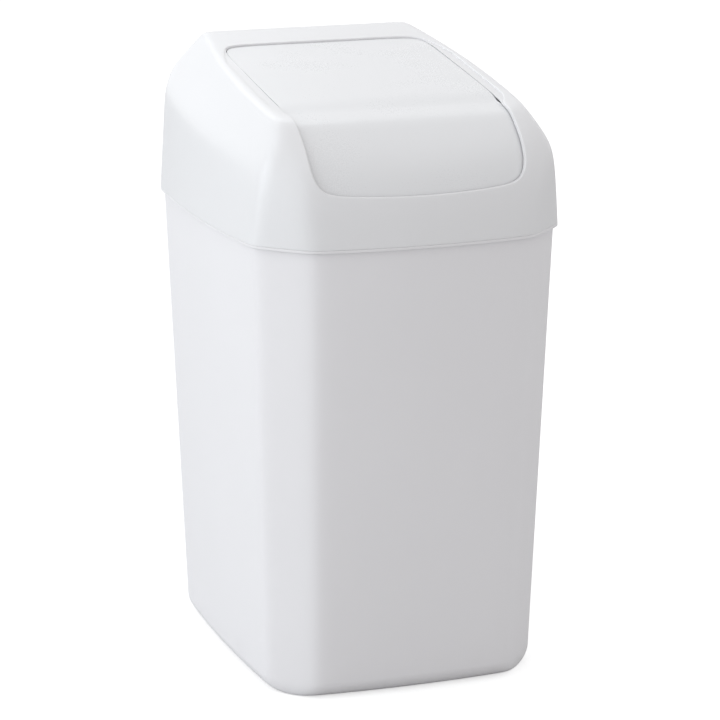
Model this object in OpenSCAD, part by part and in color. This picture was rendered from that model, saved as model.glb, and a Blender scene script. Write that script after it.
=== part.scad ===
// Countertop bin with a swing lid, built as its three mouldings:
// a tapered bucket, a hood that sits on the bucket's rim, and a bent flap that swings
// on two stub pins in the hood's opening and falls shut by its own weight.
// The front faces -Y and +Z is up. The origin is on the floor under the middle of the rim.
// All sizes are in millimetres.

/* [Bucket] */
// Height of the rim, where the hood sits, above the floor
rim_z = 213.6; // [170:0.1:260]
// Width of the bucket across X at the rim
rim_w = 154.4; // [148:0.1:170]
// Depth of the bucket along Y at the rim
rim_d = 197.2; // [177:0.1:217]
// Width at the floor
foot_w = 135.7; // [110:0.1:150]
// Depth at the floor
foot_d = 169.4; // [150:0.1:190]
// How far each side bows outwards at the rim
rim_bow = 4.8; // [1:0.1:8]
// How far each side bows outwards at the floor
foot_bow = 2.2; // [0:0.1:4]
// Leg of the flat corner at the rim
rim_corner = 25.9; // [20:0.1:32]
// Leg of the flat corner at the floor
foot_corner = 20.6; // [18:0.1:28]
// Radius of the rounded edge round the floor
foot_r = 8.4; // [4:0.1:9.5]
// How much less that rounding cuts into the flat corners, as a share
foot_fill = 0.69; // [0.5:0.01:0.8]
// Width of the flat ring that the bucket stands on
stand_w = 6; // [3:0.5:12]
// How far the middle of the floor is raised off the table
floor_lift = 2; // [0.5:0.1:5]
// Wall of the bucket
bucket_wall = 1.4; // [1:0.1:2.5]
// How far the flange sticks out past the bucket's wall
flange_out = 1.5; // [1.2:0.1:3]
// Thickness of the flange
flange_t = 1.3; // [1:0.1:3]
// Height of the upstand that holds the hood in place
upstand_h = 6; // [3:0.5:12]

/* [Hood] */
// Wall of the hood
hood_wall = 1.3; // [1:0.1:2]
// Play between the hood's skirt and the bucket's upstand
hood_play = 0.5; // [0.45:0.05:1]
// Height of the side shoulders above the rim, at the middle
shoulder_h = 42.4; // [36:0.5:50]
// Rise of the shoulders towards the back, as a ratio
shoulder_rise = 0.0775; // [0:0.0025:0.12]
// Slant of the facets above the shoulders, in degrees
slant = 54.7; // [48:0.1:62]
// Height of the top above the rim, at the middle
top_h = 63.9; // [60:0.1:70]
// Rise of the top towards the back, as a ratio
top_rise = 0.15; // [0.1:0.005:0.2]
// Distance from the skirt's back to the top's back edge
top_back_in = 28.9; // [20:0.1:32]
// Slant of the facet that the front bends round, in degrees
front_slant = 32.3; // [25:0.1:40]
// Distance from the skirt's front to that facet's gauge point
front_gauge_in = 6.2; // [3.1:0.1:10.1]
// Height of that gauge point above the rim
front_gauge_h = 38.1; // [34:0.1:42]
// Roundness of the front bend
front_soft = 7; // [4:0.1:9]
// Roundness of the upright corners and the shoulders
corner_soft = 1.35; // [0.5:0.05:2]
// Roundness of the top's edges and ridge
top_soft = 0.8; // [0.3:0.05:1.5]
// Depth of the ledge along the opening's sides
ledge_step = 0.5; // [0.5:0.05:0.8]
// Width of that ledge where it is widest
ledge_wide = 4.2; // [3.8:0.1:4.6]
// Width of that ledge along the back
ledge_back = 0.3; // [0.2:0.05:1]
// Roundness of the opening's edge
lip_r = 0.45; // [0.2:0.05:0.6]

/* [Flap] */
// Full width of the flap at the pivot
flap_w = 102.8; // [102:0.2:104]
// How much wider each side is at the front, behind the hood's edge
flap_wider = 1.2; // [0.8:0.1:1.4]
// How much narrower each side is at the back
flap_narrow = 0.8; // [0.2:0.1:2]
// Distance from the top's back edge to the flap's back edge
flap_back_in = 25.2; // [23.2:0.1:35.2]
// Distance from the skirt's front to the flap's lower front edge
flap_front_in = 3.9; // [3.6:0.1:5.1]
// How far the lower front edge bows forwards
flap_front_bow = 2.4; // [0.5:0.1:4]
// Thickness of the flap
flap_t = 1.4; // [1:0.1:2]
// Depth of the stiffening rim under the flap's rear edges
flap_rim = 4; // [1:0.5:6]
// Slot between the flap and the ledge
flap_slot = 0.35; // [0.35:0.05:1]
// Depth of the flap's face below the hood's at the back
flap_sunk_back = 0.9; // [0.5:0.05:1.2]
// Depth of the flap's face below the hood's just behind the pivot
flap_sunk_mid = 0.3; // [0.2:0.05:0.8]
// How far the front of the flap reaches in behind the hood's edge
flap_overlap = 1.8; // [1.5:0.1:2]
// Gap between the front of the flap and the hood's inner face
flap_rest_gap = 0.5; // [0.3:0.05:0.8]

/* [Pivot] */
// Distance from the skirt's front to the pivot axis
pivot_in = 56.1; // [52.1:0.5:60.1]
// Depth of the pivot axis below the hood's top
pivot_drop = 6.3; // [6:0.1:8]
// Radius of the stub pins
pin_r = 2; // [1.5:0.1:2.5]
// Play between a pin and its bore, on the radius
pin_play = 0.05; // [0.02:0.01:0.1]
// Thickness of the hood's bearing plates
bearing_t = 2.5; // [2:0.1:4]
// Thickness of the flap's ears
ear_t = 2; // [1.5:0.1:3]
// Gap between an ear and its bearing plate
ear_gap = 1.8; // [1.7:0.1:2]
// Wall round a pin's bore
boss_wall = 2.5; // [1.8:0.1:3]
// How far the flap swings open before it meets its stop pegs, in degrees
swing = 70; // [65:1:75]
// Radius of the stop pegs
peg_r = 1.2; // [0.8:0.1:1.6]

/* [Hidden] */
plastic_white = [0.93, 0.93, 0.94];
flap_white = [0.95, 0.95, 0.955];

// Steps along a long side, an end and a flat corner of the plan
side_steps = 16;
end_steps = 12;
corner_steps = 12;
// Steps up the hood's outside and inside, and round its lip
hood_steps = 18;
inner_steps = 10;
lip_steps = 3;
// Steps across the flap
flap_cols = 14;
// Newton steps that settle a point on a surface, and the probe length for its slope
settle = 9;
probe = 0.01;

skirt_hw = rim_w / 2 + flange_out;
skirt_hd = rim_d / 2 + flange_out;
side_half = skirt_hd - rim_corner;
end_half = skirt_hw - rim_corner;
corner_reach = skirt_hw + skirt_hd - rim_corner - rim_bow;
front_gauge_y = skirt_hd - front_gauge_in;
top_back_y = skirt_hd - top_back_in;
flap_back_y = top_back_y - flap_back_in;
flap_front_y = skirt_hd - flap_front_in;
pivot_y = skirt_hd - pivot_in;
// Lean of the hood's walls, as inward travel over height
side_draft = 0.0785;
front_draft = 0.067;
back_draft = 0.0763;
corner_draft = 0;
back_slant = 52.8;

upstand_inset = hood_wall + hood_play + side_draft * upstand_h;
edge_break = 0.3;
// A ray from here reaches every part of the hood once
hood_heart = [0, -10, rim_z - 15];
opening_heart = [0, (flap_back_y - flap_front_y) / 2];

// The flap lies in the ledge at the rear and behind the hood's edge at the front
flap_wide_y = -pivot_y + 6;
flap_sunk_front = hood_wall + flap_rest_gap;
sink_from = -pivot_y + 8;
sink_to = -pivot_y - 10;
// Ahead of the pivot the opening narrows over the flap, and the ledge fades out
cover_from = -pivot_y - 8;
cover_to = -pivot_y - 18;
ledge_full_y = -pivot_y - 1;
ledge_fade_y = flap_back_y - 30;
// The lower front edge's bow is told at this distance from the middle
bow_x = 37;
// The lower front corners are squashed arcs
front_corner = 7.5;
front_squash = 1.6;
rear_corner = 11;

pivot_z = rim_z + top_h - top_rise * pivot_y - pivot_drop;
ear_x = flap_half(-pivot_y) - 0.1;
bearing_x = ear_x + ear_gap;
boss_r = pin_r + pin_play + boss_wall;
// Clear height between the pivot and the underside of the flap
under_flap = pivot_drop - flap_sunk_front - flap_t;
peg_y = -3;
peg_gap = 0.5;
// The flap's underside meets the pegs just past the end of the swing
top_tilt = atan(top_rise);
full_swing = swing + top_tilt;
peg_z = (under_flap * cos(top_tilt) - peg_r - peg_gap + peg_y * sin(full_swing)) / cos(full_swing);

// ---- Small helpers ----

function total(v) = v * [for (i = v) 1];
function mix(a, b, t) = a + (b - a) * t;
function unit(v) = v / norm(v);
// Runs smoothly from 0 at a to 1 at b
function ease(a, b, y) = let (t = min(1, max(0, (y - a) / (b - a)))) t * t * (3 - 2 * t);
// The greatest of several distances, rounded over where two of them meet
function meet(v, soft) =
    let (m = max(v)) m + soft * ln(total([for (d = v) exp((d - m) / soft)]));
// The root of f, reached from t in a few Newton steps
function solve(f, t, steps = settle) =
    steps == 0 ? t
    : let (v = f(t), slope = (f(t + probe) - v) / probe)
        solve(f, t - v / slope, steps - 1);
// The softness whose corner passes where an arc of this radius would
function arc_soft(r) = r * (1 - 1 / sqrt(2)) / ln(2);
// How far such a corner cuts in from a side at this distance from the end
function corner_cut(t, soft) = -soft * ln(1 - exp(-max(t / soft, 0.03)));
// Steps from 0 up to, not including, 1 that lie closer together near both ends
function crowded(n) = [for (i = [0 : n - 1]) (1 - cos(180 * i / n)) / 2];
function even(n) = [for (i = [0 : n - 1]) i / n];

// ---- Plan ----

// Corners of the plan, counter-clockwise from the right side's front end
plan_corners = [
    for (q = [[1, -1], [1, 1], [-1, 1], [-1, -1]])
        let (
            on_side = [q.x * (skirt_hw - rim_bow), q.y * side_half],
            on_end = [q.x * end_half, q.y * (skirt_hd - rim_bow)]
        )
        each q.x * q.y < 0 ? [on_end, on_side] : [on_side, on_end]
];
plan_steps = [even(corner_steps), crowded(side_steps), even(corner_steps), crowded(end_steps)];
// Every ring of the bucket and the hood has one point in the direction of each station
stations = [
    for (k = [0 : 7], t = plan_steps[k % 4])
        mix(plan_corners[k], plan_corners[(k + 1) % 8], t)
];

// Skins a solid over rings of points; a closed one joins its last ring to its first
module skin(rings, closed = false) {
    n = len(rings[0]);
    m = len(rings);
    sides = [
        for (j = [0 : m - (closed ? 1 : 2)], i = [0 : n - 1])
            let (k = (j + 1) % m, a = j * n + i, b = j * n + (i + 1) % n)
            let (c = k * n + (i + 1) % n, d = k * n + i)
            each [[a, d, c], [a, c, b]]
    ];
    caps = closed ? [] : [[for (i = [0 : n - 1]) i], [for (i = [n - 1 : -1 : 0]) (m - 1) * n + i]];
    polyhedron([for (r = rings) each r], concat(sides, caps), convexity = 8);
}

// ---- Bucket ----

// Distance outside a ring of the bucket at height z, this far inside its wall; the part of
// that inset which rounds the foot is smaller at the flat corners
function bucket_gap(x, y, z, inset, rounding) =
    let (
        t = min(z, rim_z) / rim_z,
        half_w = mix(foot_w, rim_w, t) / 2,
        half_d = mix(foot_d, rim_d, t) / 2,
        bow = mix(foot_bow, rim_bow, t),
        leg = mix(foot_corner, rim_corner, t)
    )
    meet([
        abs(x) - half_w + bow * pow(y / (half_d - leg), 2),
        abs(y) - half_d + bow * pow(x / (half_w - leg), 2),
        (abs(x) + abs(y) - (half_w + half_d - leg - bow)) / sqrt(2) - foot_fill * rounding
    ], corner_soft) + inset;

// Such a ring
function bucket_ring(z, inset, rounding = 0) = [
    for (s = stations)
        let (
            d = unit(s),
            r = solve(function (r) bucket_gap(d.x * r, d.y * r, z, inset, rounding), norm(s))
        )
        [d.x * r, d.y * r, z]
];

// A ring at height z, this far inside the outline that the hood's skirt has at the rim
function rim_ring(z, inset) = [
    for (s = stations)
        let (
            d = unit(s),
            r = solve(function (r) wall_gap([d.x * r, d.y * r, rim_z]) + inset, norm(s))
        )
        [d.x * r, d.y * r, z]
];

module bucket() {
    inner_r = foot_r - bucket_wall;
    recess_out = foot_r + stand_w;
    recess_in = recess_out + floor_lift;
    flange_z = rim_z - flange_t;
    top_z = rim_z + upstand_h;
    upstand_in = upstand_inset + bucket_wall;
    levels = [0.25, 0.5, 0.75];
    // Height, inset and rounding of each ring, from under the floor up the outside to the flange
    outside = [
        [floor_lift, recess_in, foot_r],
        [0, recess_out, foot_r],
        for (a = [0 : 15 : 90])
            let (rounding = foot_r * (1 - sin(a))) [foot_r * (1 - cos(a)), rounding, rounding],
        for (t = levels) [rim_z * t, 0, 0],
        [flange_z, 0, 0]
    ];
    // Round the flange and over the upstand
    rim = [
        [flange_z, edge_break],
        [flange_z + edge_break, 0],
        [rim_z, 0],
        [rim_z, upstand_inset],
        [top_z - edge_break, upstand_inset],
        [top_z, upstand_inset + edge_break],
        [top_z, upstand_in - edge_break],
        [top_z - edge_break, upstand_in]
    ];
    // Down the inside to the middle of the floor
    inside = [
        [flange_z, bucket_wall, 0],
        for (i = [2 : -1 : 0]) [rim_z * levels[i], bucket_wall, 0],
        for (a = [90 : -15 : 0])
            let (rounding = inner_r * (1 - sin(a)))
            [foot_r - inner_r * cos(a), bucket_wall + rounding, rounding],
        [bucket_wall, recess_out, inner_r],
        [bucket_wall + floor_lift, recess_in, inner_r]
    ];
    color(plastic_white)
        skin([
            for (p = outside) bucket_ring(p[0], p[1], p[2]),
            for (p = rim) rim_ring(p[0], p[1]),
            for (p = inside) bucket_ring(p[0], p[1], p[2])
        ]);
}

// ---- Hood ----

// Distance outside a plane that slants inwards at this angle from level
function slanted(angle, out, up) = sin(angle) * out + cos(angle) * up;
// How far the bowed side at y, and the bowed end at x, lie inside their middles
function side_bow(y) = rim_bow * pow(y / side_half, 2);
function end_bow(x) = rim_bow * pow(x / end_half, 2);

// Distance of a point outside the hood's upright walls
function wall_gap(p) =
    let (x = abs(p.x), y = p.y, h = p.z - rim_z)
    meet([
        x - skirt_hw + side_bow(y) + side_draft * h,
        -y - skirt_hd + end_bow(x) + front_draft * h,
        y - skirt_hd + end_bow(x) + back_draft * h,
        (x + abs(y) - corner_reach + corner_draft * h) / sqrt(2)
    ], corner_soft);

// Distance of a point outside the hood's outer surface: walls, slants, front bend and top
function hood_gap(p) =
    let (
        x = abs(p.x),
        y = p.y,
        h = p.z - rim_z,
        front = slanted(front_slant, -y - front_gauge_y, h - front_gauge_h),
        side = slanted(slant, x - skirt_hw + side_bow(y) + side_draft * shoulder_h,
            h - shoulder_h - shoulder_rise * y),
        back = slanted(back_slant, y - top_back_y, h - top_h - top_rise * top_back_y),
        top = (h - top_h - top_rise * y) / norm([1, top_rise]),
        bent = meet([wall_gap(p), front], front_soft)
    )
    meet([meet([bent, side, back], corner_soft), top], top_soft);

// Outward normal of that surface
function hood_normal(p) =
    let (g = hood_gap(p))
    unit([for (d = [[1, 0, 0], [0, 1, 0], [0, 0, 1]]) hood_gap(p + probe * d) - g]);

// Height of the surface that lies this far inside the hood's outer surface
function hood_z(x, y, inset = 0) =
    solve(function (z) hood_gap([x, y, z]) + inset, rim_z + top_h + 25);

// The point of that inset surface on the ray from the heart through p
function hood_at(p, inset = 0) =
    let (d = p - hood_heart)
    hood_heart + d * solve(function (t) hood_gap(hood_heart + t * d) + inset, 1.6);

// Half width of the flap at y
function flap_half(y) =
    flap_w / 2 + flap_wider * ease(cover_from, cover_to + 2, y)
        - flap_narrow * pow(max(0, y - flap_wide_y) / (flap_back_y - flap_wide_y), 2);

// Width of the ledge at y: it fades out at the ridge and at the back corners
function ledge_w(y) =
    let (full = ease(cover_to, ledge_full_y, y) * ease(flap_back_y - 3, ledge_fade_y, y))
    mix(ledge_back, ledge_wide, full);

// Half width of the opening's outer edge at y
function opening_half(y) =
    flap_half(y) + mix(-flap_overlap, flap_slot, ease(cover_to, cover_from, y)) + ledge_w(y);

// Distance in plan outside the opening's outer edge
function opening_gap(x, y) =
    let (
        rebate = flap_slot + ledge_back,
        side = abs(x) - opening_half(y),
        back = y - flap_back_y - rebate,
        front = -y - flap_front_y - 1 + flap_front_bow * pow(x / bow_x, 2)
    )
    meet([meet([side, back], arc_soft(rear_corner + rebate)), front * front_squash],
        arc_soft(front_corner));

// For each station, the point on the opening's edge, its normal, and the way into the opening
lip = [
    for (s = stations)
        let (
            d = unit([s.x * opening_half(flap_wide_y) / skirt_hw,
                s.y * (flap_back_y + flap_front_y) / 2 / skirt_hd]),
            r = solve(function (r) opening_gap(d.x * r, opening_heart.y + d.y * r), 60),
            x = d.x * r,
            y = opening_heart.y + d.y * r,
            p = [x, y, hood_z(x, y)],
            n = hood_normal(p),
            g = opening_gap(x, y),
            out = [opening_gap(x + probe, y) - g, opening_gap(x, y + probe) - g, 0],
            level = -unit(out),
            q = unit(level - (level * n) * n)
        )
        [p, n, q]
];

module hood_shell() {
    foot_out = rim_ring(rim_z, 0);
    foot_in = rim_ring(rim_z, hood_wall);
    count = len(stations);
    ledge_at = [for (e = lip) ledge_w(e[0].y)];
    // The wall is thicker under the ledge, but not where it passes over the flap
    thicker = [for (e = lip) ledge_step * ease(cover_from, cover_from + 10, e[0].y)];
    back_off = 3;
    outside = [
        for (j = [1 : hood_steps - 1])
            [for (i = [0 : count - 1])
                hood_at(mix(foot_out[i], lip[i][0] - lip_r * lip[i][2], j / hood_steps))]
    ];
    rounded = [
        for (j = [0 : lip_steps])
            let (a = 90 * j / lip_steps)
            [for (e = lip) e[0] - lip_r * ((1 - sin(a)) * e[2] + (1 - cos(a)) * e[1])]
    ];
    step_foot = [for (e = lip) e[0] - ledge_step * e[1]];
    ledge_edge = [for (i = [0 : count - 1])
        lip[i][0] + ledge_at[i] * lip[i][2] - ledge_step * lip[i][1]];
    edge_under = [for (i = [0 : count - 1])
        lip[i][0] + ledge_at[i] * lip[i][2] - (hood_wall + thicker[i]) * lip[i][1]];
    inside = [
        for (j = [inner_steps : -1 : 1])
            [for (i = [0 : count - 1])
                hood_at(mix(foot_in[i], lip[i][0] - back_off * lip[i][2], j / inner_steps),
                    hood_wall)]
    ];
    skin(concat([foot_out], outside, rounded, [step_foot, ledge_edge, edge_under], inside,
        [foot_in]), closed = true);
}

// One bearing plate, hanging inside the right edge of the opening, with its stop peg
module bearing() {
    front_y = -7;
    back_y = 9;
    hang = pivot_drop - 0.6 * (ledge_step + hood_wall);
    translate([0, -pivot_y, pivot_z]) {
        rotate([90, 0, 90])
            translate([0, 0, bearing_x])
                difference() {
                    linear_extrude(bearing_t)
                        union() {
                            polygon([
                                [front_y, hang + top_rise * front_y],
                                [front_y, peg_z - peg_r],
                                [peg_y + peg_r + 1, peg_z - peg_r],
                                [boss_r, 0],
                                [back_y, hang + top_rise * back_y]
                            ]);
                            circle(r = boss_r, $fn = 64);
                        }
                    translate([0, 0, -1])
                        cylinder(r = pin_r + pin_play, h = bearing_t + 2, $fn = 64);
                }
        translate([ear_x - ear_t, peg_y, peg_z])
            rotate([0, 90, 0])
                cylinder(r = peg_r, h = ear_gap + ear_t + 0.5, $fn = 48);
    }
}

module hood() {
    color(plastic_white) {
        hood_shell();
        bearing();
        mirror([1, 0, 0]) bearing();
    }
}

// ---- Flap ----

// How far the flap's face lies below the hood's outer surface at y
function flap_sunk(y) =
    mix(flap_sunk_mid, flap_sunk_back, max(0, y - sink_from) / (flap_back_y - sink_from))
        + (flap_sunk_front - flap_sunk_mid) * ease(sink_from, sink_to, y);
// How far its rim reaches below its underside
function rim_depth(y) = mix(0.3, flap_rim, ease(-pivot_y + 2, -pivot_y + 20, y));
// Half width of the flap at y, with its rounded corners
function flap_reach(y) =
    flap_half(y) - corner_cut(flap_back_y - y, arc_soft(rear_corner))
        - corner_cut((y + flap_front_y) * front_squash, arc_soft(front_corner));

// The y of each row of the flap, closer together down the steep front and at the back corners
flap_rows = [
    for (i = [0 : 15]) mix(-flap_front_y, -pivot_y - 25, pow(i / 15, 2)),
    for (i = [0 : 8]) -pivot_y - 20 + 4 * i,
    for (i = [0 : 5]) mix(-pivot_y + 22, flap_back_y - 18, i / 5),
    for (i = [6 : -1 : 0]) flap_back_y - 11 * pow(i / 6, 2)
];

// A point of the flap in plan; u runs from -1 to 1 across it, and trim draws the outline in
function flap_xy(y, u, trim) =
    let (
        middle = (flap_back_y - flap_front_y) / 2,
        reach = (flap_back_y + flap_front_y) / 2,
        x = u * (flap_reach(y) - trim),
        bend = flap_front_bow * pow(x / bow_x, 2) * (1 - ease(-flap_front_y, 18 - flap_front_y, y))
    )
    [x, middle + (y - middle) * (1 - trim / reach) + bend];

// A point of the flap this deep under its face
function flap_point(y, u, trim, depth) =
    let (p = flap_xy(y, u, trim), q = [p.x, p.y, hood_z(p.x, p.y, flap_sunk(p.y))])
    q - depth * hood_normal(q);

module flap_shell() {
    rows = len(flap_rows);
    cols = flap_cols + 1;
    across = [for (i = [0 : flap_cols]) -cos(180 * i / flap_cols)];
    grid = rows * cols;
    face = [for (y = flap_rows, u = across) flap_point(y, u, 0, 0)];
    under = [for (y = flap_rows, u = across) flap_point(y, u, flap_t, flap_t)];
    // Row and column of each point of the edge, counter-clockwise from the front left
    edge = [
        for (i = [0 : cols - 2]) [0, i],
        for (j = [0 : rows - 2]) [j, cols - 1],
        for (i = [cols - 1 : -1 : 1]) [rows - 1, i],
        for (j = [rows - 1 : -1 : 1]) [j, 0]
    ];
    count = len(edge);
    rim_out = [for (e = edge) let (y = flap_rows[e[0]])
        flap_point(y, across[e[1]], 0, flap_t + rim_depth(y))];
    rim_in = [for (e = edge) let (y = flap_rows[e[0]])
        flap_point(y, across[e[1]], flap_t, flap_t + rim_depth(y))];
    // Indices of the loops that close the edge, from the face round to the underside
    loops = [
        [for (e = edge) e[0] * cols + e[1]],
        [for (k = [0 : count - 1]) 2 * grid + k],
        [for (k = [0 : count - 1]) 2 * grid + count + k],
        [for (e = edge) grid + e[0] * cols + e[1]]
    ];
    face_tris = [
        for (j = [0 : rows - 2], i = [0 : cols - 2])
            let (a = j * cols + i, b = a + 1, c = a + cols + 1, d = a + cols)
            each [[a, d, c], [a, c, b], [grid + a, grid + c, grid + d], [grid + a, grid + b, grid + c]]
    ];
    edge_tris = [
        for (l = [0 : 2], k = [0 : count - 1])
            let (a = loops[l][k], b = loops[l][(k + 1) % count])
            let (c = loops[l + 1][(k + 1) % count], d = loops[l + 1][k])
            each [[a, b, c], [a, c, d]]
    ];
    polyhedron(concat(face, under, rim_out, rim_in), concat(face_tris, edge_tris), convexity = 8);
}

// One ear under the flap's right edge, with the stub pin that turns in the hood's bearing
module ear() {
    half_l = 7;
    // Height of the middle of the flap's skin above the pivot, at y from the pivot
    function skin_z(y) = pivot_drop + top_rise * y - flap_sunk(y - pivot_y) - flap_t / 2;
    pin_end = 0.8;
    translate([0, -pivot_y, pivot_z]) {
        rotate([90, 0, 90])
            translate([0, 0, ear_x - ear_t])
                linear_extrude(ear_t)
                    union() {
                        polygon([
                            [-half_l, skin_z(-half_l)],
                            [-boss_r + 0.4, 0],
                            [boss_r - 0.4, 0],
                            [half_l, skin_z(half_l)]
                        ]);
                        circle(r = boss_r - 0.4, $fn = 64);
                    }
        translate([ear_x - ear_t / 2, 0, 0])
            rotate([0, 90, 0])
                cylinder(r = pin_r, h = ear_t / 2 + ear_gap + bearing_t + pin_end, $fn = 64);
    }
}

module swing_flap() {
    color(flap_white) {
        flap_shell();
        ear();
        mirror([1, 0, 0]) ear();
    }
}

bucket();
hood();
swing_flap();
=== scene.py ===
# %% [markdown]
# A countertop bin with a swing lid is three thin mouldings of white polypropylene: a tapered
# bucket, a hood that drops over the bucket's rim, and a bent flap that swings on two stub pins
# in the hood's opening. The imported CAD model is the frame: it fixes every size, and this script
# gives the same three mouldings finer meshes, their plastic, the light and the camera.

# %% Load the frame
import math

import bmesh
import bpy
import numpy as np
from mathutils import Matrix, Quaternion, Vector


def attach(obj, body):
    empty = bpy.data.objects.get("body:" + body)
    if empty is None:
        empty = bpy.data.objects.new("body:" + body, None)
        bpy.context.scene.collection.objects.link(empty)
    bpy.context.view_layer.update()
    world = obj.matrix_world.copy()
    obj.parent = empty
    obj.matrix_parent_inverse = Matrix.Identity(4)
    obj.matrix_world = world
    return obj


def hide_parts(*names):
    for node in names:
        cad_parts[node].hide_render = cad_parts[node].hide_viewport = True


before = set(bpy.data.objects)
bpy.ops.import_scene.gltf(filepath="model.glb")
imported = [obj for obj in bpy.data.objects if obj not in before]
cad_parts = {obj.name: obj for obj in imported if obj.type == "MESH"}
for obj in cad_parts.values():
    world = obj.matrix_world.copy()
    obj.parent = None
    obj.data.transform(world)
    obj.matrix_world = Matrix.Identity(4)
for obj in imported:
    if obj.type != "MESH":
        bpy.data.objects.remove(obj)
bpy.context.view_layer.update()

# %% [markdown]
# The camera comes first, because each later step is judged through it. It stands a little to
# the left of the bin's front and looks down at it with a long lens, so upright edges lean in
# only slightly. The small shift puts the bin where it stands in the picture's frame.

# %% Camera
aim = Vector((0, 0, 0.1458))
turn_left = math.radians(19.27)
look_down = math.radians(13.99)
reach = 1.493
back_way = Vector(
    (
        -math.sin(turn_left) * math.cos(look_down),
        -math.cos(turn_left) * math.cos(look_down),
        math.sin(look_down),
    )
)
camera_data = bpy.data.cameras.new("camera")
camera_data.lens = 156.76
camera_data.shift_x = 0.00896
camera_data.shift_y = -0.02367
camera = bpy.data.objects.new("camera", camera_data)
camera.location = aim + back_way * reach
camera.rotation_mode = "QUATERNION"
roll = Quaternion(-back_way, math.radians(0.08))
camera.rotation_quaternion = roll @ (-back_way).to_track_quat("-Z", "Y")
bpy.context.scene.collection.objects.link(camera)
bpy.context.scene.camera = camera
print("camera at", [round(v, 3) for v in camera.location])

# %% [markdown]
# The sizes below repeat the CAD source, in millimetres, because the finer meshes must lie
# where the solids lie. Heights of the hood are counted from the rim. Two things are changed on
# purpose, for the looks: lip_r is 0.35 mm and not the CAD source's 0.45, and the flap dips under
# the hood later than the solid does, which puts its face up to 0.44 mm higher.

# %% Sizes of the bucket
rim_z, rim_w, rim_d = 213.6, 154.4, 197.2
foot_w, foot_d = 135.7, 169.4
rim_bow, foot_bow = 4.8, 2.2
rim_corner, foot_corner = 25.9, 20.6
foot_r, foot_fill, stand_w, floor_lift = 8.4, 0.69, 6, 2
bucket_wall, flange_out, flange_t, upstand_h = 1.4, 1.5, 1.3, 6
skirt_hw, skirt_hd = rim_w / 2 + flange_out, rim_d / 2 + flange_out
side_half, end_half = skirt_hd - rim_corner, skirt_hw - rim_corner
corner_reach = skirt_hw + skirt_hd - rim_corner - rim_bow
print("skirt:", 2 * skirt_hw, "x", 2 * skirt_hd, "mm")

# %% Sizes of the hood
hood_wall, hood_play = 1.3, 0.5
shoulder_h, shoulder_rise, slant = 42.4, 0.0775, 54.7
top_h, top_rise = 63.9, 0.15
top_back_y = skirt_hd - 28.9
front_slant, front_gauge_y, front_gauge_h = 32.3, skirt_hd - 6.2, 38.1
front_soft, corner_soft, top_soft = 7, 1.35, 0.8
side_draft, front_draft, back_draft, back_slant = 0.0785, 0.067, 0.0763, 52.8
ledge_step, ledge_wide, ledge_back, lip_r = 0.5, 4.2, 0.3, 0.35
upstand_inset = hood_wall + hood_play + side_draft * upstand_h
hood_heart = np.array([0, -10, rim_z - 15])
print("top of the hood at y = 0:", rim_z + top_h, "mm")

# %% Sizes of the flap and its pivot
flap_w, flap_wider, flap_narrow = 102.8, 1.2, 0.8
flap_back_y, flap_front_y = top_back_y - 25.2, skirt_hd - 3.9
flap_front_bow, bow_x, flap_t, flap_rim, flap_slot = 2.4, 37, 1.4, 4, 0.35
flap_sunk_back, flap_sunk_mid, flap_overlap, flap_rest_gap = 0.9, 0.3, 1.8, 0.5
flap_sunk_front = hood_wall + flap_rest_gap
pivot_y, pivot_drop, pin_r, pin_play = skirt_hd - 56.1, 6.3, 2, 0.05
bearing_t, ear_t, ear_gap, boss_wall, swing, peg_r = 2.5, 2, 1.8, 2.5, 70, 1.2
flap_wide_y = 6 - pivot_y
sink_from, sink_to = 8 - pivot_y, -pivot_y - 10
cover_from, cover_to = -pivot_y - 8, -pivot_y - 18
ledge_full_y, ledge_fade_y = -pivot_y - 1, flap_back_y - 30
front_corner, front_squash, rear_corner = 7.5, 1.6, 11
pivot_z = rim_z + top_h - top_rise * pivot_y - pivot_drop
print("pivot axis at y", -pivot_y, "z", round(pivot_z, 2), "mm")

# %% [markdown]
# The real mouldings are flat facets that run softly into each other. A list of planes with a
# soft maximum gives exactly that: the value is the distance outside the nearest plane, and
# where two planes meet it is rounded over. It is one formula for the whole hood, so highlights
# run unbroken over its edges, which separately bevelled edges would hardly reach.

# %% Soft corners between facets
def ease(a, b, y):
    t = np.clip((y - a) / (b - a), 0, 1)
    return t * t * (3 - 2 * t)


def mix(a, b, t):
    return a + (b - a) * t


def meet(distances, soft):
    stack = np.stack(np.broadcast_arrays(*distances))
    top = stack.max(axis=0)
    return top + soft * np.log(np.exp((stack - top) / soft).sum(axis=0))


def settle(gap, t, steps=12, probe=0.01):
    for _ in range(steps):
        value = gap(t)
        t = t - value / ((gap(t + probe) - value) / probe)
    return t


def arc_soft(radius):
    return radius * (1 - 1 / math.sqrt(2)) / math.log(2)


def corner_cut(t, soft):
    return -soft * np.log(1 - np.exp(-np.maximum(t / soft, 0.03)))


print("a 45 degree corner is rounded by", round(corner_soft * math.log(2), 2), "mm")


# %% The walls, the bucket and the hood as distances
def slanted(angle, out, up):
    return math.sin(math.radians(angle)) * out + math.cos(math.radians(angle)) * up


def wall_gap(x, y, z):
    x, h = np.abs(x), z - rim_z
    side_bow, end_bow = rim_bow * (y / side_half) ** 2, rim_bow * (x / end_half) ** 2
    return meet(
        [
            x - skirt_hw + side_bow + side_draft * h,
            -y - skirt_hd + end_bow + front_draft * h,
            y - skirt_hd + end_bow + back_draft * h,
            (x + np.abs(y) - corner_reach) / math.sqrt(2),
        ],
        corner_soft,
    )


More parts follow.
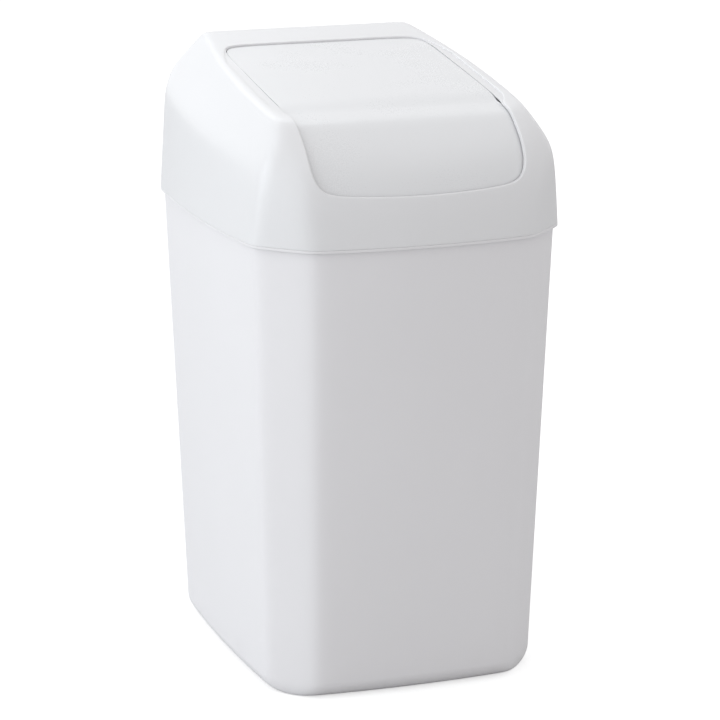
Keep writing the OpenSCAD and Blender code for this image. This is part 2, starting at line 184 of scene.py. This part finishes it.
def bucket_gap(x, y, z, inset, rounding):
    t = np.minimum(z, rim_z) / rim_z
    half_w, half_d = mix(foot_w, rim_w, t) / 2, mix(foot_d, rim_d, t) / 2
    bow, leg = mix(foot_bow, rim_bow, t), mix(foot_corner, rim_corner, t)
    corner = (np.abs(x) + np.abs(y) - (half_w + half_d - leg - bow)) / math.sqrt(2)
    sides = [
        np.abs(x) - half_w + bow * (y / (half_d - leg)) ** 2,
        np.abs(y) - half_d + bow * (x / (half_w - leg)) ** 2,
        corner - foot_fill * rounding,
    ]
    return meet(sides, corner_soft) + inset


def hood_gap(x, y, z):
    h = z - rim_z
    side_bow = rim_bow * (y / side_half) ** 2
    front = slanted(front_slant, -y - front_gauge_y, h - front_gauge_h)
    side = slanted(
        slant,
        np.abs(x) - skirt_hw + side_bow + side_draft * shoulder_h,
        h - shoulder_h - shoulder_rise * y,
    )
    back = slanted(back_slant, y - top_back_y, h - top_h - top_rise * top_back_y)
    top = (h - top_h - top_rise * y) / math.hypot(1, top_rise)
    bent = meet([wall_gap(x, y, z), front], front_soft)
    return meet([meet([bent, side, back], corner_soft), top], top_soft)


def hood_normal(points):
    x, y, z = points.T
    here = hood_gap(x, y, z)
    slope = np.stack(
        [
            hood_gap(x + 0.01, y, z) - here,
            hood_gap(x, y + 0.01, z) - here,
            hood_gap(x, y, z + 0.01) - here,
        ],
        axis=1,
    )
    return slope / np.linalg.norm(slope, axis=1, keepdims=True)


def hood_z(x, y, inset=0):
    start = np.full(np.shape(x), rim_z + top_h + 25.0)
    return settle(lambda z: hood_gap(x, y, z) + inset, start)


def hood_at(points, inset=0):
    ray = points - hood_heart
    t = settle(
        lambda t: hood_gap(*(hood_heart + t[:, None] * ray).T) + inset, np.full(len(ray), 1.6)
    )
    return hood_heart + t[:, None] * ray


print("hood's height at the middle:", round(float(hood_z(np.array(0.0), np.array(0.0))), 2), "mm")

# %% [markdown]
# Every ring of the bucket and the hood has a point in the direction of each station of the
# plan, which is an oblong with four flat corners. The stations lie closer together at the
# corners' ends, where the surface turns.

# %% Stations round the plan
def crowded(n, pull=0.6):
    t = np.arange(n) / n
    return mix(t, (1 - np.cos(math.pi * t)) / 2, pull)


plan_corners = []
for sx, sy in ((1, -1), (1, 1), (-1, 1), (-1, -1)):
    on_side = (sx * (skirt_hw - rim_bow), sy * side_half)
    on_end = (sx * end_half, sy * (skirt_hd - rim_bow))
    plan_corners += [on_end, on_side] if sx * sy < 0 else [on_side, on_end]
plan_corners = np.array(plan_corners)
plan_steps = [crowded(28), crowded(76, 0.8), crowded(28), crowded(56, 0.8)]
stations = np.concatenate(
    [
        mix(plan_corners[k], plan_corners[(k + 1) % 8], plan_steps[k % 4][:, None])
        for k in range(8)
    ]
)
station_ways = stations / np.linalg.norm(stations, axis=1, keepdims=True)
print("stations:", len(stations))

# %% [markdown]
# A moulding's skin is grown ring by ring: a circle of edges is laid on the first outline, and
# each extrusion's new ring is laid on the next. The mesh stays one sheet with even quads, so
# it shades smoothly and closes without a seam.

# %% Growing a skin out of rings
def place(verts, points):
    for vert, point in zip(verts, np.asarray(points) * 0.001):
        vert.co = point


def ring_edges(bm, ring):
    return [bm.edges.get((ring[i - 1], ring[i])) for i in range(len(ring))]


def start_ring(bm, points):
    made = bmesh.ops.create_circle(bm, cap_ends=False, radius=1, segments=len(points))
    place(made["verts"], points)
    return made["verts"]


def grow_ring(bm, ring, points):
    made = bmesh.ops.extrude_edge_only(bm, edges=ring_edges(bm, ring))["geom"]
    fresh = {v for v in made if isinstance(v, bmesh.types.BMVert)}
    grown = []
    for vert in ring:
        ends = (edge.other_vert(vert) for edge in vert.link_edges)
        grown.append(next(end for end in ends if end in fresh))
    place(grown, points)
    return grown


def cover_ring(bm, ring):
    bmesh.ops.edgeloop_fill(bm, edges=ring_edges(bm, ring))


# %% Turning a bmesh into a piece of the bin
def make_piece(name, bm, body, node, crease=40):
    bmesh.ops.recalc_face_normals(bm, faces=bm.faces)
    mesh = bpy.data.meshes.new(name)
    bm.to_mesh(mesh)
    bm.free()
    mesh.shade_smooth()
    mesh.set_sharp_from_angle(angle=math.radians(crease))
    piece = bpy.data.objects.new(name, mesh)
    bpy.context.scene.collection.objects.link(piece)
    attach(piece, body)
    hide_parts(node)
    triangles = sum(len(face.vertices) - 2 for face in mesh.polygons)
    print(name, "has", len(mesh.vertices), "vertices and", triangles, "triangles")
    return piece


# %% [markdown]
# The bucket is one open shell: flat corners, sides that bow a little, a rounded edge round the
# floor, a ring that it stands on, and a flange under the rim with an upstand that the hood
# drops over. Its rings run from under the floor up the outside, over the rim and down the
# inside, and two faces close the floor.

# %% Bucket
def bucket_ring(z, inset, rounding=0):
    r = settle(
        lambda r: bucket_gap(*(station_ways.T * r), z, inset, rounding),
        np.linalg.norm(stations, axis=1),
    )
    return np.column_stack([station_ways * r[:, None], np.full(len(r), z)])


def rim_ring(z, inset):
    r = settle(
        lambda r: wall_gap(*(station_ways.T * r), rim_z) + inset, np.linalg.norm(stations, axis=1)
    )
    return np.column_stack([station_ways * r[:, None], np.full(len(r), z)])


def arc(steps):
    return np.radians(np.linspace(0, 90, steps + 1))


recess_out = foot_r + stand_w
recess_in = recess_out + floor_lift
flange_z = rim_z - flange_t
top_z = rim_z + upstand_h
upstand_in = upstand_inset + bucket_wall
inner_r = foot_r - bucket_wall
edge_r = 0.3
wall_levels = np.linspace(foot_r, flange_z, 26)[1:-1]

bucket_outside = [(floor_lift, recess_in, foot_r)]
bucket_outside += [(floor_lift * 0.5, recess_in - floor_lift * 0.6, foot_r)]
bucket_outside += [(0.15, recess_out + 0.15, foot_r), (0, recess_out - 0.2, foot_r)]
for a in arc(16):
    rounding = foot_r * (1 - math.sin(a))
    bucket_outside.append((foot_r * (1 - math.cos(a)), rounding, rounding))
bucket_outside += [(z, 0, 0) for z in wall_levels] + [(flange_z - 0.25, 0, 0)]
bucket_rim = [(flange_z, flange_out - 0.25), (flange_z, edge_r)]
bucket_rim += [
    (flange_z + edge_r * (1 - math.cos(a)), edge_r * (1 - math.sin(a))) for a in arc(3)[1:]
]
bucket_rim += [(rim_z - 0.12, 0), (rim_z, 0.12), (rim_z, upstand_inset - 0.2)]
bucket_rim += [(rim_z + 0.2, upstand_inset)]
bucket_rim += [
    (top_z - 0.4 * (1 - math.sin(a)), upstand_inset + 0.4 * (1 - math.cos(a))) for a in arc(3)
]
bucket_rim += [
    (top_z - 0.4 * (1 - math.cos(a)), upstand_in - 0.4 * (1 - math.sin(a))) for a in arc(3)
]
bucket_rim += [(flange_z + 1.5, upstand_in)]
bucket_inside = [(flange_z, bucket_wall, 0)]
bucket_inside += [(z, bucket_wall, 0) for z in wall_levels[::-2]]
for a in arc(10)[::-1]:
    rounding = inner_r * (1 - math.sin(a))
    bucket_inside.append((foot_r - inner_r * math.cos(a), bucket_wall + rounding, rounding))
bucket_inside += [(bucket_wall, recess_out, inner_r), (bucket_wall + floor_lift, recess_in, inner_r)]

bm = bmesh.new()
ring = start_ring(bm, bucket_ring(*bucket_outside[0]))
cover_ring(bm, ring)
for z, inset, rounding in bucket_outside[1:]:
    ring = grow_ring(bm, ring, bucket_ring(z, inset, rounding))
for z, inset in bucket_rim:
    ring = grow_ring(bm, ring, rim_ring(z, inset))
for z, inset, rounding in bucket_inside:
    ring = grow_ring(bm, ring, bucket_ring(z, inset, rounding))
cover_ring(bm, ring)
bucket = make_piece("bucket_moulding", bm, "bin", "bucket")

# %% [markdown]
# The hood is a closed skin too: up the skirt, over the shoulders to the opening, round its
# lip, down a shallow ledge that the flap lies in, and back down the inside. The opening's
# outline uses the same soft corners, laid out in plan and lifted onto the hood.

# %% The opening's outline
def flap_half(y):
    back = np.maximum(0, y - flap_wide_y) / (flap_back_y - flap_wide_y)
    return flap_w / 2 + flap_wider * ease(cover_from, cover_to + 2, y) - flap_narrow * back**2


def ledge_w(y):
    full = ease(cover_to, ledge_full_y, y) * ease(flap_back_y - 3, ledge_fade_y, y)
    return mix(ledge_back, ledge_wide, full)


def opening_half(y):
    return flap_half(y) + mix(-flap_overlap, flap_slot, ease(cover_to, cover_from, y)) + ledge_w(y)


def opening_gap(x, y):
    rebate = flap_slot + ledge_back
    side, back = np.abs(x) - opening_half(y), y - flap_back_y - rebate
    front = -y - flap_front_y - 1 + flap_front_bow * (x / bow_x) ** 2
    rear = meet([side, back], arc_soft(rear_corner + rebate))
    return meet([rear, front * front_squash], arc_soft(front_corner))


opening_heart = (flap_back_y - flap_front_y) / 2
ways = np.column_stack(
    [
        stations[:, 0] * float(opening_half(flap_wide_y)) / skirt_hw,
        stations[:, 1] * (flap_back_y + flap_front_y) / 2 / skirt_hd,
    ]
)
ways /= np.linalg.norm(ways, axis=1, keepdims=True)
r = settle(
    lambda r: opening_gap(ways[:, 0] * r, opening_heart + ways[:, 1] * r), np.full(len(ways), 60.0)
)
lip_x, lip_y = ways[:, 0] * r, opening_heart + ways[:, 1] * r
lip = np.column_stack([lip_x, lip_y, hood_z(lip_x, lip_y)])
lip_normal = hood_normal(lip)
here = opening_gap(lip_x, lip_y)
inwards = -np.column_stack(
    [opening_gap(lip_x + 0.01, lip_y) - here, opening_gap(lip_x, lip_y + 0.01) - here, here * 0]
)
inwards /= np.linalg.norm(inwards, axis=1, keepdims=True)
inwards -= (inwards * lip_normal).sum(axis=1, keepdims=True) * lip_normal
inwards /= np.linalg.norm(inwards, axis=1, keepdims=True)
print("opening:", np.ptp(lip_x).round(1), "x", np.ptp(lip_y).round(1), "mm")

# %% Hood
foot_out, foot_in = rim_ring(rim_z, 0), rim_ring(rim_z, hood_wall)
foot_break = 0.25
ledge_at = ledge_w(lip_y)[:, None]
thicker = (ledge_step * ease(cover_from, cover_from + 10, lip_y))[:, None]
hood_steps, inner_steps, back_off = 110, 26, 3

bm = bmesh.new()
first = start_ring(bm, rim_ring(rim_z, foot_break))
ring = grow_ring(bm, first, rim_ring(rim_z + foot_break * 0.3, foot_break * 0.3))
ring = grow_ring(bm, ring, rim_ring(rim_z + foot_break, side_draft * foot_break))
for j in range(1, hood_steps):
    ring = grow_ring(bm, ring, hood_at(mix(foot_out, lip - lip_r * inwards, j / hood_steps)))
for a in arc(5):
    rounded = lip - lip_r * ((1 - math.sin(a)) * inwards + (1 - math.cos(a)) * lip_normal)
    ring = grow_ring(bm, ring, rounded)
ring = grow_ring(bm, ring, lip - ledge_step * lip_normal)
ring = grow_ring(bm, ring, lip + ledge_at * inwards - ledge_step * lip_normal)
ring = grow_ring(bm, ring, lip + ledge_at * inwards - (hood_wall + thicker) * lip_normal)
for j in range(inner_steps, 0, -1):
    inner = mix(foot_in, lip - back_off * inwards, j / inner_steps)
    ring = grow_ring(bm, ring, hood_at(inner, hood_wall))
ring = grow_ring(bm, ring, foot_in)
bmesh.ops.bridge_loops(bm, edges=ring_edges(bm, ring) + ring_edges(bm, first))
print("hood's skin:", len(bm.faces), "faces")

# %% [markdown]
# Inside each long edge of the opening hangs a bearing plate with a bore for the flap's pin,
# and a short peg that stops the swing. A plate's outline and its bore are two rings with the
# same number of points, so a bridge between them makes a face with a round hole in it.

# %% Bearing plates and stop pegs
ear_x = float(flap_half(-pivot_y)) - 0.1
bearing_x = ear_x + ear_gap
boss_r = pin_r + pin_play + boss_wall
under_flap = pivot_drop - flap_sunk_front - flap_t
top_tilt = math.atan(top_rise)
full_swing = math.radians(swing) + top_tilt
peg_y, peg_gap = -3, 0.5
peg_z = under_flap * math.cos(top_tilt) - peg_r - peg_gap + peg_y * math.sin(full_swing)
peg_z /= math.cos(full_swing)


def outline_round(corners, boss, count=96):
    """The outline of a polygon with a round boss on the pivot, seen from the pivot."""
    turns = np.linspace(0, 2 * math.pi, count, endpoint=False)
    found = []
    for turn in turns:
        way = np.array([math.cos(turn), math.sin(turn)])
        best = boss
        for a, b in zip(corners, corners[1:] + corners[:1]):
            a, b = np.array(a, float), np.array(b, float)
            across = way[0] * (b - a)[1] - way[1] * (b - a)[0]
            if abs(across) > 1e-9:
                far = (a[0] * (b - a)[1] - a[1] * (b - a)[0]) / across
                along = (a[0] * way[1] - a[1] * way[0]) / across
                if far > 0 and -1e-9 <= along <= 1 + 1e-9:
                    best = max(best, far)
        found.append(way * best)
    return np.array(found)


def circle_round(radius, count=96):
    turns = np.linspace(0, 2 * math.pi, count, endpoint=False)
    return radius * np.column_stack([np.cos(turns), np.sin(turns)])


def on_side(side, x, flat):
    """Points of a drawing in the pivot's plane, carried out to x on one side of the bin."""
    return np.column_stack([np.full(len(flat), side * x), flat[:, 0] - pivot_y, flat[:, 1] + pivot_z])


def add_pin(bm, side, x0, x1, radius, y=0, z=0, nose=0.4):
    shape = circle_round(1, 48)
    centre = np.array([y, z])
    ring = start_ring(bm, on_side(side, x0, shape * radius + centre))
    cover_ring(bm, ring)
    ring = grow_ring(bm, ring, on_side(side, x1 - nose, shape * radius + centre))
    ring = grow_ring(bm, ring, on_side(side, x1 - nose * 0.3, shape * (radius - nose * 0.3) + centre))
    ring = grow_ring(bm, ring, on_side(side, x1, shape * (radius - nose) + centre))
    cover_ring(bm, ring)


hang = pivot_drop - 0.6 * (ledge_step + hood_wall)
plate_corners = [
    (-7, hang - 7 * top_rise),
    (-7, peg_z - peg_r),
    (peg_y + peg_r + 1, peg_z - peg_r),
    (boss_r, 0),
    (9, hang + 9 * top_rise),
]
plate = outline_round(plate_corners, boss_r)
bore = circle_round(pin_r + pin_play)
for side in (1, -1):
    near, far = bearing_x, bearing_x + bearing_t
    inner = start_ring(bm, on_side(side, near, bore))
    ring = grow_ring(bm, inner, on_side(side, near, plate * 0.97))
    ring = grow_ring(bm, ring, on_side(side, near + 0.25, plate))
    ring = grow_ring(bm, ring, on_side(side, far - 0.25, plate))
    ring = grow_ring(bm, ring, on_side(side, far, plate * 0.97))
    ring = grow_ring(bm, ring, on_side(side, far, bore))
    bmesh.ops.bridge_loops(bm, edges=ring_edges(bm, ring) + ring_edges(bm, inner))
    add_pin(bm, -side, -(bearing_x + 0.5), -(ear_x - ear_t), peg_r, peg_y, peg_z, nose=0.25)
hood = make_piece("hood_moulding", bm, "hood_body", "hood")

# %% [markdown]
# The flap is a bent plate: nearly flat behind the pivot, then over the ridge and down the
# hood's front, where it lies just behind the edge of the opening. A grid is laid on the inset
# hood surface for its face and another for its underside, and the rim between them is grown
# ring by ring.

# %% The flap's surface
dip_delay = 2


def flap_sunk(y):
    back = np.maximum(0, y - sink_from) / (flap_back_y - sink_from)
    front = (flap_sunk_front - flap_sunk_mid) * ease(sink_from, sink_to - 1, y) ** dip_delay
    return mix(flap_sunk_mid, flap_sunk_back, back) + front


def rim_depth(y):
    return mix(0.3, flap_rim, ease(-pivot_y + 2, -pivot_y + 20, y))


def flap_reach(y):
    rear = corner_cut(flap_back_y - y, arc_soft(rear_corner))
    front = corner_cut((y + flap_front_y) * front_squash, arc_soft(front_corner))
    return flap_half(y) - rear - front


def flap_points(y, u, trim, depth):
    middle, half = (flap_back_y - flap_front_y) / 2, (flap_back_y + flap_front_y) / 2
    x = u * (flap_reach(y) - trim)
    bow = flap_front_bow * (x / bow_x) ** 2 * (1 - ease(-flap_front_y, 18 - flap_front_y, y))
    place_y = middle + (y - middle) * (1 - trim / half) + bow
    face = np.column_stack([x, place_y, hood_z(x, place_y, flap_sunk(place_y))])
    return face - np.reshape(depth, (-1, 1)) * hood_normal(face)


flap_rows = np.concatenate(
    [
        -flap_front_y + 26 * (np.arange(44) / 44) ** 2,
        np.linspace(26 - flap_front_y, -pivot_y + 12, 70, endpoint=False),
        np.linspace(-pivot_y + 12, flap_back_y - 14, 24, endpoint=False),
        flap_back_y - 14 * (np.arange(30, -1, -1) / 30) ** 2,
    ]
)
flap_across = np.sin(np.linspace(-math.pi / 2, math.pi / 2, 61))
print("flap's grid:", len(flap_rows), "rows of", len(flap_across))


# %% Flap
def flap_grid(bm, trim, depth):
    rows, cols = len(flap_rows) - 1, len(flap_across) - 1
    made = bmesh.ops.create_grid(bm, x_segments=cols, y_segments=rows, size=1)["verts"]
    col = [round((v.co.x + 1) / 2 * cols) for v in made]
    row = [round((v.co.y + 1) / 2 * rows) for v in made]
    place(made, flap_points(flap_rows[row], flap_across[col], trim, np.full(len(made), depth)))
    at = {(r, c): v for r, c, v in zip(row, col, made)}
    border = [(0, c) for c in range(cols)] + [(r, cols) for r in range(rows)]
    border += [(rows, c) for c in range(cols, 0, -1)] + [(r, 0) for r in range(rows, 0, -1)]
    return [at[key] for key in border], border


bm = bmesh.new()
edge_round = 0.2
ring, border = flap_grid(bm, edge_round, 0)
edge_y = flap_rows[[r for r, c in border]]
edge_u = flap_across[[c for r, c in border]]
rim_foot = flap_t + rim_depth(edge_y)
for a in arc(4)[1:]:
    trim, depth = edge_round * (1 - math.sin(a)), edge_round * (1 - math.cos(a))
    ring = grow_ring(bm, ring, flap_points(edge_y, edge_u, trim, np.full(len(edge_y), depth)))
ring = grow_ring(bm, ring, flap_points(edge_y, edge_u, 0, rim_foot - 0.2))
ring = grow_ring(bm, ring, flap_points(edge_y, edge_u, 0.2, rim_foot))
ring = grow_ring(bm, ring, flap_points(edge_y, edge_u, flap_t - 0.2, rim_foot))
ring = grow_ring(bm, ring, flap_points(edge_y, edge_u, flap_t, rim_foot - 0.15))
under, _ = flap_grid(bm, flap_t, flap_t)
bmesh.ops.bridge_loops(bm, edges=ring_edges(bm, ring) + ring_edges(bm, under))

ear_half = 7


def skin_z(y):
    return float(pivot_drop + top_rise * y - flap_sunk(y - pivot_y) - flap_t / 2)


ear_corners = [
    (-ear_half, skin_z(-ear_half)),
    (-boss_r + 0.4, 0),
    (boss_r - 0.4, 0),
    (ear_half, skin_z(ear_half)),
]
ear_shape = outline_round(ear_corners, boss_r - 0.4)
for side in (1, -1):
    ring = start_ring(bm, on_side(side, ear_x - ear_t, ear_shape * 0.97))
    cover_ring(bm, ring)
    ring = grow_ring(bm, ring, on_side(side, ear_x - ear_t + 0.2, ear_shape))
    ring = grow_ring(bm, ring, on_side(side, ear_x - 0.2, ear_shape))
    ring = grow_ring(bm, ring, on_side(side, ear_x, ear_shape * 0.97))
    cover_ring(bm, ring)
    add_pin(bm, side, ear_x - ear_t / 2, bearing_x + bearing_t + 0.8, pin_r)
flap = make_piece("flap_moulding", bm, "flap_body", "swing_flap")

# %% [markdown]
# Shader maths is written as plain sums: a value wraps a node's socket, and each operator adds
# the Math node that does it. Any other node comes from one method.

# %% Writing node materials as sums
class Value:
    def __init__(self, look, socket):
        self.look, self.socket = look, socket

    def sum_with(self, operation, *values):
        return self.look.node("ShaderNodeMath", {"operation": operation}, *values)

    def __add__(self, other):
        return self.sum_with("ADD", self, other)

    def __sub__(self, other):
        return self.sum_with("SUBTRACT", self, other)

    def __mul__(self, other):
        return self.sum_with("MULTIPLY", self, other)

    __radd__ = __add__


class Look:
    def __init__(self, name):
        self.material = bpy.data.materials.new(name)
        self.material.use_nodes = True
        self.tree = self.material.node_tree
        self.tree.nodes.clear()

    def node(self, kind, settings, *values, out=0, **named):
        made = self.tree.nodes.new(kind)
        for key, value in settings.items():
            setattr(made, key, value)
        wanted = list(zip(made.inputs, values))
        wanted += [(made.inputs[key.replace("_", " ")], value) for key, value in named.items()]
        for socket, value in wanted:
            if isinstance(value, Value):
                self.tree.links.new(value.socket, socket)
            else:
                socket.default_value = value
        return Value(self, made.outputs[out]) if made.outputs else None

    def noise(self, where, scale, detail):
        return self.node(
            "ShaderNodeTexNoise", {}, Vector=where, Scale=scale, Detail=detail, out="Fac"
        )

    def finish(self, piece, shader):
        self.node("ShaderNodeOutputMaterial", {}, Surface=shader)
        piece.data.materials.clear()
        piece.data.materials.append(self.material)


# %% [markdown]
# The three mouldings are one plastic in three finishes. The bucket is satin, with the fine
# grain of an etched mould. The hood and the flap are glossier, and their faces are not quite
# flat, as thin mouldings never are, so reflections waver a little. Grain, waver and a faint
# cloudiness of the colour come from noise at three scales, in the object's own metres. A little
# light scatters below the surface, over about the thickness of a wall.

# %% Plastic
grain_scale, cloud_scale, waver_scale = 1900, 16, 42
cloud_shade, grain_spread, cloud_spread = 0.975, 0.03, 0.05
scatter_share, scatter_depth = 0.3, 0.0015


def plastic(name, piece, tint, roughness, grain, waver):
    look = Look(name)
    where = look.node("ShaderNodeTexCoord", {}, out="Object")
    fine = look.noise(where, grain_scale, 3)
    cloud = look.noise(where, cloud_scale, 2)
    sink = look.noise(where, waver_scale, 1)
    thin = tuple(c * cloud_shade for c in tint)
    colour = look.node(
        "ShaderNodeMix", {"data_type": "RGBA"}, Factor=cloud, A=(*thin, 1), B=(*tint, 1), out=2
    )
    skin = look.node(
        "ShaderNodeBump", {}, Strength=1.0, Distance=0.001, Height=fine * grain + sink * waver
    )
    shader = look.node(
        "ShaderNodeBsdfPrincipled",
        {},
        Base_Color=colour,
        Roughness=roughness + (fine - 0.5) * grain_spread + (cloud - 0.5) * cloud_spread,
        IOR=1.49,
        Subsurface_Weight=scatter_share,
        Subsurface_Radius=(1, 1, 1),
        Subsurface_Scale=scatter_depth,
        Normal=skin,
    )
    look.finish(piece, shader)
    print(name, "is on", piece.name)


plastic("satin_white_plastic", bucket, (0.855, 0.84, 0.86), 0.46, 0.004, 0.015)
plastic("gloss_white_plastic", hood, (0.81, 0.805, 0.82), 0.33, 0.0001, 0.02)
plastic("gloss_flap_plastic", flap, (0.805, 0.805, 0.82), 0.28, 0.0001, 0.02)

# %% [markdown]
# The bin stands on a plain pale floor in a white studio. The floor shows white to the camera
# and still takes the bin's soft shadow, and the white world is what the gloss reflects.

# %% Floor
floor_grey, floor_glow = 0.55, 0.62
bm = bmesh.new()
bmesh.ops.create_grid(bm, x_segments=1, y_segments=1, size=3)
floor_mesh = bpy.data.meshes.new("studio_floor")
bm.to_mesh(floor_mesh)
bm.free()
floor = bpy.data.objects.new("studio_floor", floor_mesh)
bpy.context.scene.collection.objects.link(floor)
look = Look("pale_floor")
rays = look.node("ShaderNodeLightPath", {}, out="Is Camera Ray")
shade = look.node("ShaderNodeBsdfDiffuse", {}, Color=(floor_grey, floor_grey, floor_grey, 1))
glow = look.node("ShaderNodeEmission", {}, Color=(1, 1, 1, 1), Strength=rays * floor_glow)
look.finish(floor, look.node("ShaderNodeAddShader", {}, shade, glow))
print("floor is", round(floor.dimensions.x, 1), "m wide")

# %% Studio light
world = bpy.data.worlds.new("studio")
bpy.context.scene.world = world
world.use_nodes = True
look = Look("world_nodes_holder")
look.tree = world.node_tree
look.tree.nodes.clear()
camera_ray = look.node("ShaderNodeLightPath", {}, out="Is Camera Ray")
glossy_ray = look.node("ShaderNodeLightPath", {}, out="Is Glossy Ray")
seen = look.node("ShaderNodeMath", {"operation": "MAXIMUM"}, camera_ray, glossy_ray)
fill_strength = 0.82
strength = fill_strength + seen * (1 - fill_strength)
shine = look.node("ShaderNodeBackground", {}, Color=(1, 1, 1, 1), Strength=strength)
look.node("ShaderNodeOutputWorld", {}, Surface=shine)
bpy.data.materials.remove(look.material)


# %% Softboxes
lamp_aim, lamp_size, lamp_colour = Vector((0, 0, 0.17)), 1.0, (0.9, 0.965, 1.0)


def softbox(name, place_at, power):
    data = bpy.data.lights.new(name, "AREA")
    data.shape = "RECTANGLE"
    data.size = data.size_y = lamp_size
    data.energy = power
    data.color = lamp_colour
    lamp = bpy.data.objects.new(name, data)
    lamp.location = place_at
    way = lamp_aim - Vector(place_at)
    lamp.rotation_mode = "QUATERNION"
    lamp.rotation_quaternion = way.to_track_quat("-Z", "Y")
    bpy.context.scene.collection.objects.link(lamp)
    print(name, "shines with", power, "W")


for name, place_at, power in (
    ("left_softbox", (-1.7, -0.1, 0.5), 9.9),
    ("high_left_softbox", (-1.25, 0.1, 1.4), 2.2),
    ("high_rear_softbox", (0, 1.3, 1.5), 5.0),
):
    softbox(name, place_at, power)
bpy.context.scene.view_settings.view_transform = "Standard"
